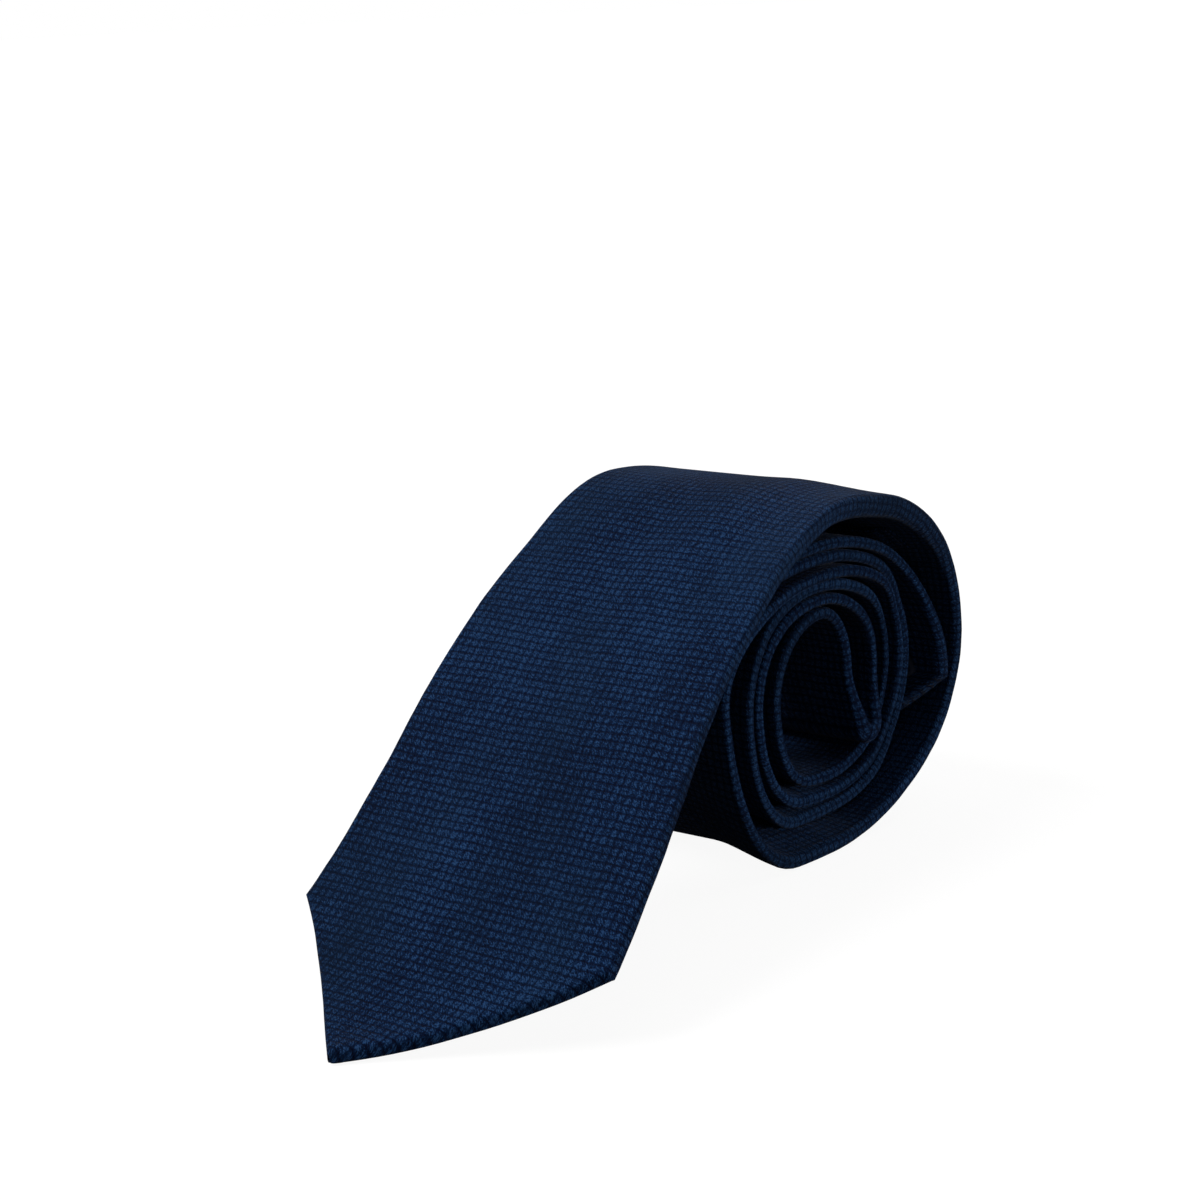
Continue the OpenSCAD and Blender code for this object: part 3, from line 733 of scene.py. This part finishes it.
def shell_cloth():
    """Navy cloth woven in small square tufts between cross lines, with painted shade darkening the
    grooves and painted highlight lightening the raised diagonal flecks.
    """
    m = Nodes("shell_cloth")
    uv, u, v = m.uv()
    bend_u = m.math("MULTIPLY_ADD", m.noise(uv, 90, 1), 0.0009, u)
    bend_v = m.math("MULTIPLY_ADD", m.noise(m.vector(v, u), 75, 1), 0.0012, v)
    cell_u = m.math("DIVIDE", bend_u, WEAVE_ACROSS)
    cell_v = m.math("DIVIDE", bend_v, WEAVE_ALONG)
    wave_u = m.math("ABSOLUTE", m.math("SINE", m.math("MULTIPLY", cell_u, pi)))
    wave_v = m.math("ABSOLUTE", m.math("SINE", m.math("MULTIPLY", cell_v, pi)))
    rise_u = m.math("MULTIPLY_ADD", m.math("POWER", wave_u, 0.5), 0.56, 0.44)
    rise_v = m.math("MULTIPLY_ADD", m.math("POWER", wave_v, 0.45), 0.9, 0.1)
    half_v = m.math("ABSOLUTE", m.math("COSINE", m.math("MULTIPLY", cell_v, pi)))
    split = m.math("MULTIPLY_ADD", m.math("POWER", half_v, 0.4), 0.28, 0.72)
    tuft = m.math("MULTIPLY", m.math("MULTIPLY", rise_u, rise_v), split)
    across = m.math("MULTIPLY", m.math("ADD", bend_u, bend_v), 2300)
    along = m.math("MULTIPLY", m.math("SUBTRACT", bend_u, bend_v), 800)
    fleck = m.noise(m.vector(across, along), 1, 2, 0.6)
    grain = m.noise(uv, 3400, 1, 0.6)
    cell = m.random(m.vector(m.math("FLOOR", cell_u), m.math("FLOOR", cell_v)))
    ridge = m.math("MULTIPLY_ADD", fleck, 3.2, -0.6)
    height = m.math("MULTIPLY", tuft, ridge)
    grain = m.math("ADD", height, m.math("MULTIPLY_ADD", grain, 1.3, -0.65))
    shade = m.math("MULTIPLY_ADD", m.math("SUBTRACT", cell, 0.5), 0.14, grain)
    patch = m.noise(m.vector(m.math("MULTIPLY", u, 34), m.math("MULTIPLY", v, 15), 2.6), 1, 1)
    shade = m.math("MULTIPLY_ADD", m.math("SUBTRACT", patch, 0.5), 0.5, shade)
    # The colour follows the weave's height: the darkest stops, in the grooves, are painted shade,
    # and the lightest, greyer stop, on the raised diagonal flecks, is painted highlight, laid over
    # the cloth's own navy and its random tone.
    colour = m.ramp(shade, [
        (0.1, (0.0001, 0.0010, 0.007)), (0.45, (0.0005, 0.0042, 0.0195)),
        (0.8, (0.0022, 0.0136, 0.047)), (1.0, (0.0130, 0.0430, 0.118))])
    # Random clouds, long along the strip, pull the colour towards a darker navy: painted shade that
    # stands in for shallow dips turning away from the light.
    painted_shade_cloud = m.noise(m.vector(m.math("MULTIPLY", u, 42), m.math("MULTIPLY", v, 16)), 1, 1)
    colour = m.mix(m.math("MULTIPLY", m.math("SUBTRACT", painted_shade_cloud, 0.42), 1.3), colour,
                   (0.0022, 0.0088, 0.0215))
    m.link(colour, m.shader.inputs["Base Color"])
    m.bump(height, 0.00026, 0.9)
    rough = m.math("MULTIPLY_ADD", height, -0.15, 0.75)
    return m.finish(rough, 0.03, 0.034, 0.35, (0.95, 0.95, 0.95))


def wool():
    """Brushed interlining, off-white, with fibres standing up."""
    m = Nodes("interlining_wool")
    _, u, v = m.uv()
    fibres = m.noise(m.vector(m.math("MULTIPLY", u, 2600), m.math("MULTIPLY", v, 700)), 1, 4, 0.7)
    threads = m.math("ABSOLUTE", m.math("SINE", m.math("MULTIPLY", v, pi / 0.0011)))
    height = m.math("MULTIPLY_ADD", threads, 0.3, fibres)
    colour = m.ramp(height, [(0.2, (0.30, 0.27, 0.23)), (0.9, (0.62, 0.58, 0.51))])
    m.link(colour, m.shader.inputs["Base Color"])
    m.bump(height, 0.0003)
    return m.finish(0.95, 0.1, 0.2, 0.6)


def lining():
    """Smooth navy twill lining with fine diagonal lines."""
    m = Nodes("tipping_lining")
    _, u, v = m.uv()
    diagonal = m.math("MULTIPLY", m.math("SUBTRACT", u, v), 2 * pi / 0.0005)
    lines = m.math("MULTIPLY_ADD", m.math("SINE", diagonal), 0.5, 0.5)
    slub = m.noise(m.vector(m.math("MULTIPLY", u, 900), m.math("MULTIPLY", v, 150)), 1, 3)
    shade = m.math("MULTIPLY_ADD", slub, 0.6, m.math("MULTIPLY", lines, 0.4))
    colour = m.ramp(shade, [(0.1, (0.006, 0.009, 0.024)), (0.9, (0.022, 0.03, 0.065))])
    m.link(colour, m.shader.inputs["Base Color"])
    m.bump(lines, 0.00006)
    return m.finish(0.42, 0.3, 0.05, 0.3, (0.5, 0.6, 1.0))


def sewing_thread():
    """Twisted navy thread."""
    m = Nodes("sewing_thread")
    uv, u, v = m.uv()
    twist = m.math("MULTIPLY_ADD", v, 2 * pi / 0.0007, m.math("MULTIPLY", u, 2 * pi / 0.001))
    ply = m.math("MULTIPLY_ADD", m.math("SINE", twist), 0.5, 0.5)
    fluff = m.noise(uv, 4000, 2)
    shade = m.math("MULTIPLY_ADD", fluff, 0.5, m.math("MULTIPLY", ply, 0.5))
    colour = m.ramp(shade, [(0.1, (0.006, 0.01, 0.03)), (0.9, (0.03, 0.045, 0.11))])
    m.link(colour, m.shader.inputs["Base Color"])
    m.bump(ply, 0.00005)
    return m.finish(0.5, 0.3, 0.1, 0.3, (0.6, 0.7, 1.0))


def label_satin():
    """Blank black satin ribbon with fine ribs."""
    m = Nodes("label_satin")
    _, u, v = m.uv()
    ribs = m.math("ABSOLUTE", m.math("SINE", m.math("MULTIPLY", v, pi / 0.0003)))
    slub = m.noise(m.vector(m.math("MULTIPLY", u, 120), m.math("MULTIPLY", v, 2400)), 1, 3)
    shade = m.math("MULTIPLY_ADD", slub, 0.7, m.math("MULTIPLY", ribs, 0.3))
    colour = m.ramp(shade, [(0.1, (0.004, 0.004, 0.006)), (0.9, (0.02, 0.021, 0.026))])
    m.link(colour, m.shader.inputs["Base Color"])
    m.bump(ribs, 0.00004)
    return m.finish(0.36, 0.4, 0.0)


MATERIALS = {
    "shell_cloth": shell_cloth(), "interlining_wool": wool(), "tipping_lining": lining(),
    "sewing_thread": sewing_thread(), "label_satin": label_satin(),
}


def dress(piece, slot, *nodes):
    """Gives a piece the material named by slot, and hides the CAD nodes that it stands for."""
    piece.data.materials.clear()
    piece.data.materials.append(MATERIALS[slot])
    if nodes:
        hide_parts(*nodes)
    return piece


def point_at(s):
    p, _ = spot(s)
    return (0.0, float(p[0, 0]) * MM, float(p[0, 1]) * MM)


# Runs on either side of the tip hinge, and from before the crest hinge to the crest
BEND_REACH = 12
TIP_BEND = (float(RUN[TIP_HINGE]) - BEND_REACH, float(RUN[TIP_HINGE]) + BEND_REACH)
CREST_BEND = (float(RUN[CREST_HINGE]) - BEND_REACH, float(RUN[CREST]))


def bend_at_tip(piece):
    point_at(TIP_BEND[0])
    point_at(TIP_BEND[1])
    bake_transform(piece)


def bend_at_crest(piece):
    start, end = point_at(CREST_BEND[0]), point_at(CREST_BEND[1])
    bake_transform(piece)


def ride_coil(piece):
    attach(piece, "coil")


# ---------------------------------------------------------------- the shell and its insides
BLADE_CUT = 125.0        # the front shell's pieces meet here and under the coil
FOOT_CUT = float(RUN[FOOT_START])
TIP_START = 0.35
SEAM_GAP = 0.12


LEAST_SHARE = 0.3        # of its flat rectangle that a sheet may fill


def cut_size(area, s0, s1, widest):
    """Flat width and length of a cut, and its area, kept between a share of its flat rectangle and
    all of it. Flat width and length of a cut, and its area, within what a sheet may say.
    """
    width, length = widest * MM, (s1 - s0) * MM
    return (width, length), min(max(area, LEAST_SHARE * width * length), width * length)


def shell_piece(name, s0, s1, move, node):
    piece = sweep(name, s0, s1, shell_outline, SHELL_PAIRS)
    dress(piece, "shell_cloth", node)
    move(piece)


def lining_piece(name, s0, s1, move, node):
    piece = sweep(name, s0, s1, lining_outline, lining_pairs(), LINING_STEP)
    dress(piece, "interlining_wool", node)
    move(piece)


def build_shell():
    shell_piece("tip_shell", TIP_START, BLADE_CUT, bend_at_tip, "front_shell_tip")
    shell_piece("blade_shell", BLADE_CUT, FOOT_CUT, bend_at_crest, "front_shell_drape")
    shell_piece("coil_front_shell", FOOT_CUT, NECK_SEAM - SEAM_GAP, ride_coil,
                "front_shell_coil")
    shell_piece("coil_neck_shell", NECK_SEAM + SEAM_GAP, TAIL_SEAM - SEAM_GAP, ride_coil,
                "neck_shell")
    shell_piece("coil_tail_shell", TAIL_SEAM + SEAM_GAP, TIE_LEN - TIP_START, ride_coil,
                "tail_shell")


def build_linings():
    inset = CLOTH_T * sqrt(2) + 0.4
    lining_piece("tip_interlining", inset, BLADE_CUT, bend_at_tip, "front_interlining_tip")
    lining_piece("blade_interlining", BLADE_CUT, FOOT_CUT, bend_at_crest,
                 "front_interlining_drape")
    lining_piece("coil_front_interlining", FOOT_CUT, CORE_RUN - 0.1, ride_coil,
                 "front_interlining_coil")
    lining_piece("coil_tail_interlining", CORE_RUN + 0.1, TIE_LEN - inset, ride_coil,
                 "tail_interlining")


TUCK_UNDER = 0.25        # the tippings reach this far under the hems on each side
TIPPING_T, TIPPING_SWELL, TIPPING_AIR = 0.12, 0.2, 0.03


def build_tipping(name, s0, s1, move, node):
    """The lining that shows in the open back of a point, held under the hems."""
    runs = np.concatenate([[s0], np.arange(s0 + 1, s1 - 0.5, 1.5), [s1]])
    across = np.linspace(-1, 1, 15)
    n, m = len(runs), len(across)
    s = np.repeat(runs, m)
    x = (np.maximum(window_w(runs), 0)[:, None] + TUCK_UNDER) * across[None, :]
    edge = 1 - np.abs(np.tile(across, n)) ** 6
    h_out = -CORE_T - TIPPING_T - TIPPING_SWELL * edge
    back = fullness(s)[1]
    top = place(s, x.ravel(), -CORE_T - TIPPING_AIR - back)
    under = place(s, x.ravel(), h_out - back)
    uvs = np.tile(np.stack([x.ravel(), s], 1), (2, 1)) * MM
    piece = new_object(name, np.concatenate([top, under]), sheet_faces(n, m), uvs)
    dress(piece, "tipping_lining", node)
    widest = 2 * float(window_w(runs).max())
    area = float(np.sum(2 * np.maximum(window_w(runs), 0)[:-1] * np.diff(runs))) * MM * MM
    flat, area = cut_size(area, s0, s1, widest)
    move(piece)


# ---------------------------------------------------------------- stitches, labels and keeper
THREAD_R = 0.17 * MM
SLIP_PITCH = 9.0
BOW = 0.1                # how far a stitch stands out of the cloth
FINE_PITCH, FINE_LEN = 1.9, 1.2


def seam_thread(name, s0, s1, move, *nodes):
    """The slip stitch: a thread in the back seam, with a slanting catch every 9 mm."""
    paths = []
    for a in np.arange(s0, s1, SLIP_PITCH):
        b = min(a + SLIP_PITCH, s1)
        if b - a < 2:
            continue
        paths.append(stitch(a, -0.12, b - 0.6, 0.12, -CORE_T - 0.05, 0.0, 8))
        paths.append(stitch(b - 1.5, -0.75, b - 0.2, 0.75, -HALF_T + 0.05, 0.16, 6))
    piece = tubes(name, paths, THREAD_R * 0.8, 5)
    dress(piece, "sewing_thread", *nodes)
    move(piece)


TACK_HALF_W, TACK_TURNS = 4.5, 22


def bar_tack(name, s, move, node):
    """Threads laid across the end of the seam and wound round with more thread."""
    half = TACK_HALF_W
    paths = [stitch(s + d, -half, s + d, half, -HALF_T - 0.05, BOW, 13) for d in (0, 0.5, 1.0, 1.5)]
    for x in np.linspace(-half + 0.5, half - 0.5, TACK_TURNS):
        paths.append(stitch(s - 0.5, x, s + 2.0, x + 0.15, -HALF_T + 0.05, 0.42, 7))
    piece = tubes(name, paths, THREAD_R, 6)
    dress(piece, "sewing_thread", node)
    move(piece)


def cross_seam(name, s, node):
    """The seam between two lengths of shell: small stitches in a shallow valley."""
    w = float(half_w(s))
    valley = HALF_T * (1 - SEAM_VALLEY)
    paths = []
    for h, side in ((valley, 1), (-valley, -1)):
        for x in np.arange(-w + 2, w - 2, FINE_PITCH):
            if side < 0 and abs(x + 0.7) < 1.2:
                continue
            t = np.linspace(0, 1, 5)
            bow = side * BOW * np.sin(pi * t)
            paths.append(place(np.full(5, s), x + 1.5 * t, h + bow))
    piece = tubes(name, paths, THREAD_R * 0.7, 5)
    dress(piece, "sewing_thread", node)
    ride_coil(piece)


LABEL_RUN = float(RUN[CREST]) + 14
LABEL_LEN, LABEL_HALF_W = 16.0, 15.0
LABEL_T = 0.25
KEEPER_RUN, KEEPER_W, KEEPER_SPAN = LABEL_RUN + LABEL_LEN + 8, 12.0, 46.0
KEEPER_T, KEEPER_LIFT, KEEPER_TURN_IN = 0.6, 0.9, 6


def build_keeper():
    """A narrow folded band of shell cloth across the back, sewn down at its ends."""
    runs = np.linspace(KEEPER_RUN, KEEPER_RUN + KEEPER_W, 9)
    xs = np.linspace(-KEEPER_SPAN / 2, KEEPER_SPAN / 2, 47)

    def height(s, x):
        raised = smooth(KEEPER_SPAN / 2 - np.abs(x), 1.5, 5.5)
        across = 1 - (2 * (s - KEEPER_RUN) / KEEPER_W - 1) ** 6
        return -HALF_T - 0.06 - KEEPER_LIFT * raised + 0.12 * (1 - across)

    piece = slab("keeper_band", runs, xs, height, KEEPER_T)
    dress(piece, "shell_cloth", "keeper_loop")
    ride_coil(piece)
    paths = []
    for side in (-1, 1):
        x = side * (KEEPER_SPAN / 2 - 1.1)
        for s in np.arange(KEEPER_RUN + 0.8, KEEPER_RUN + KEEPER_W - 1.5, 1.7):
            paths.append(stitch(s, x, s + 1.1, x, -HALF_T - KEEPER_T - 0.02, BOW))
    stitches = tubes("keeper_band_stitches", paths, THREAD_R * 0.8, 5)
    dress(stitches, "sewing_thread", "keeper_stitches")
    ride_coil(stitches)


def label_thread(name, paths, node):
    """The fine stitches that hold a label."""
    piece = tubes(name, paths, THREAD_R * 0.8, 5)
    return dress(piece, "sewing_thread", node)


def build_name_label():
    """The blank name label, sewn down along two sides."""
    runs = np.linspace(LABEL_RUN, LABEL_RUN + LABEL_LEN, 12)
    xs = np.linspace(-LABEL_HALF_W, LABEL_HALF_W, 25)

    def height(s, x):
        return -HALF_T - 0.2 - 0.08 * np.sin(s * 0.9) * np.cos(x * 0.4)

    label = slab("name_label", runs, xs, height, LABEL_T)
    dress(label, "label_satin", "blank_name_label")
    ride_coil(label)
    paths = []
    for s in (LABEL_RUN + 1, LABEL_RUN + LABEL_LEN - 1):
        for x in np.arange(-LABEL_HALF_W + 1, LABEL_HALF_W - 1.5, FINE_PITCH):
            paths.append(stitch(s, x, s, x + FINE_LEN, -HALF_T - 0.46, BOW))
    ride_coil(label_thread("name_label_thread", paths, "name_label_stitches"))


CARE_TOP, CARE_LEN, CARE_HALF_W, CARE_T = 72.0, 26.0, 9.0, 0.22


def build_care_label():
    """The blank care label, held by one edge."""
    runs = np.linspace(CARE_TOP - CARE_LEN, CARE_TOP, 15)
    xs = np.linspace(-CARE_HALF_W, CARE_HALF_W, 13)

    def hang(s, x):
        free = part_of(CARE_TOP - s, 0, CARE_LEN)
        return -HALF_T - 0.45 - 0.35 * free * (x / CARE_HALF_W) ** 2 - 0.2 * np.sin(free * 5)

    care = slab("care_tag", runs, xs, hang, CARE_T)
    dress(care, "label_satin", "care_label")
    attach(care, "label_flap")
    sewn = CARE_TOP + 0.2
    paths = [stitch(sewn, x, sewn, x + FINE_LEN, -HALF_T - 0.02)
             for x in np.arange(-CARE_HALF_W, CARE_HALF_W - 1, FINE_PITCH)]
    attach(label_thread("care_tag_thread", paths, "care_label_stitches"), "blade_tip")


build_shell()
build_linings()
build_tipping("tip_tipping", HEM_W * sqrt(2) - 1, TACK_RUN + 0.4,
              lambda p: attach(p, "blade_tip"), "front_tipping")
build_tipping("tail_end_tipping", TAIL_TACK_RUN - 0.4, TIE_LEN - TAIL_HEM_W * sqrt(2) + 1,
              ride_coil, "tail_tipping")
seam_thread("blade_seam_thread", TACK_RUN + 2.5, BLADE_CUT, bend_at_tip,
            "front_slip_stitch_drape")
seam_thread("crest_seam_thread", BLADE_CUT, FOOT_CUT, bend_at_crest)
seam_thread("coil_front_seam_thread", FOOT_CUT, NECK_SEAM - 1, ride_coil,
            "front_slip_stitch_coil")
seam_thread("coil_tail_seam_thread", NECK_SEAM + 1, TAIL_TACK_RUN - 2, ride_coil,
            "tail_slip_stitch")
bar_tack("tip_bar_tack", TACK_RUN, bend_at_tip, "front_bar_tack")
bar_tack("tail_end_bar_tack", TAIL_TACK_RUN - 2, ride_coil, "tail_bar_tack")
cross_seam("front_neck_cross_seam", NECK_SEAM, "front_neck_seam")
cross_seam("neck_tail_cross_seam", TAIL_SEAM, "neck_tail_seam")
build_keeper()
build_name_label()
build_care_label()


# ---------------------------------------------------------------- stage, light and camera
FLOOR_HALF, FLOOR_DROP = 40.0, 0.0002    # metres; the floor lies just below the cloth


def build_stage():
    mesh = bpy.data.meshes.new("floor")
    r = FLOOR_HALF
    mesh.from_pydata([(-r, -r, 0), (r, -r, 0), (r, r, 0), (-r, r, 0)], [], [(0, 1, 2, 3)])
    floor_obj = bpy.data.objects.new("floor", mesh)
    bpy.context.scene.collection.objects.link(floor_obj)
    m = Nodes("floor_paper")
    seen = m.tree.nodes.new("ShaderNodeLightPath").outputs["Is Camera Ray"]
    m.shader.inputs["Base Color"].default_value = (0.1, 0.1, 0.1, 1)
    m.shader.inputs["Emission Color"].default_value = (1, 1, 1, 1)
    m.link(m.math("MULTIPLY", seen, 0.93), m.shader.inputs["Emission Strength"])
    floor_obj.data.materials.append(m.finish(0.9, 0.1))
    floor_obj.location.z = -FLOOR_DROP


def sun(name, direction, strength, spread, colour=(1, 1, 1)):
    """A soft, even light that comes from direction."""
    light = bpy.data.lights.new(name, "SUN")
    light.energy = strength
    light.angle = radians(spread)
    light.color = colour
    obj = bpy.data.objects.new(name, light)
    bpy.context.scene.collection.objects.link(obj)
    obj.rotation_euler = Vector(direction).to_track_quat("Z", "Y").to_euler()


def build_light():
    sun("key", (-0.45, -0.6, 0.8), 3.3, 35)
    sun("top", (-0.1, 0.35, 1), 0.8, 60)
    sun("side", (0.95, 0.3, 0.05), 2.7, 14, (1.0, 0.94, 0.88))
    world = bpy.data.worlds.new("studio")
    bpy.context.scene.world = world
    world.use_nodes = True
    tree = world.node_tree
    dim = tree.nodes["Background"]
    dim.inputs[0].default_value = (1, 1, 1, 1)
    dim.inputs[1].default_value = 0.17
    bright = tree.nodes.new("ShaderNodeBackground")
    seen = tree.nodes.new("ShaderNodeLightPath")
    mix = tree.nodes.new("ShaderNodeMixShader")
    tree.links.new(seen.outputs["Is Camera Ray"], mix.inputs[0])
    tree.links.new(dim.outputs[0], mix.inputs[1])
    tree.links.new(bright.outputs[0], mix.inputs[2])
    bright.inputs[0].default_value = (1, 1, 1, 1)
    tree.links.new(mix.outputs[0], tree.nodes["World Output"].inputs[0])
    bpy.context.scene.view_settings.view_transform = "Standard"


CAMERA_AT = (0.3211, -0.4126, 0.2000)    # metres
CAMERA_AZIMUTH, CAMERA_ELEVATION, CAMERA_ROLL = 38.12, 13.96, -2.79
CAMERA_LENS = 72.11


def build_camera():
    azimuth, elevation = radians(CAMERA_AZIMUTH), radians(CAMERA_ELEVATION)
    roll = radians(CAMERA_ROLL)
    back = Vector((sin(azimuth) * cos(elevation), -cos(azimuth) * cos(elevation), sin(elevation)))
    right = Vector((cos(azimuth), sin(azimuth), 0))
    up = back.cross(right)
    right_r = right * cos(roll) + up * sin(roll)
    up_r = up * cos(roll) - right * sin(roll)
    data = bpy.data.cameras.new("camera")
    data.lens = CAMERA_LENS
    camera = bpy.data.objects.new("camera", data)
    bpy.context.scene.collection.objects.link(camera)
    turn = Matrix((right_r, up_r, back)).transposed().to_4x4()
    camera.matrix_world = Matrix.Translation(CAMERA_AT) @ turn
    bpy.context.scene.camera = camera


build_stage()
build_light()
build_camera()
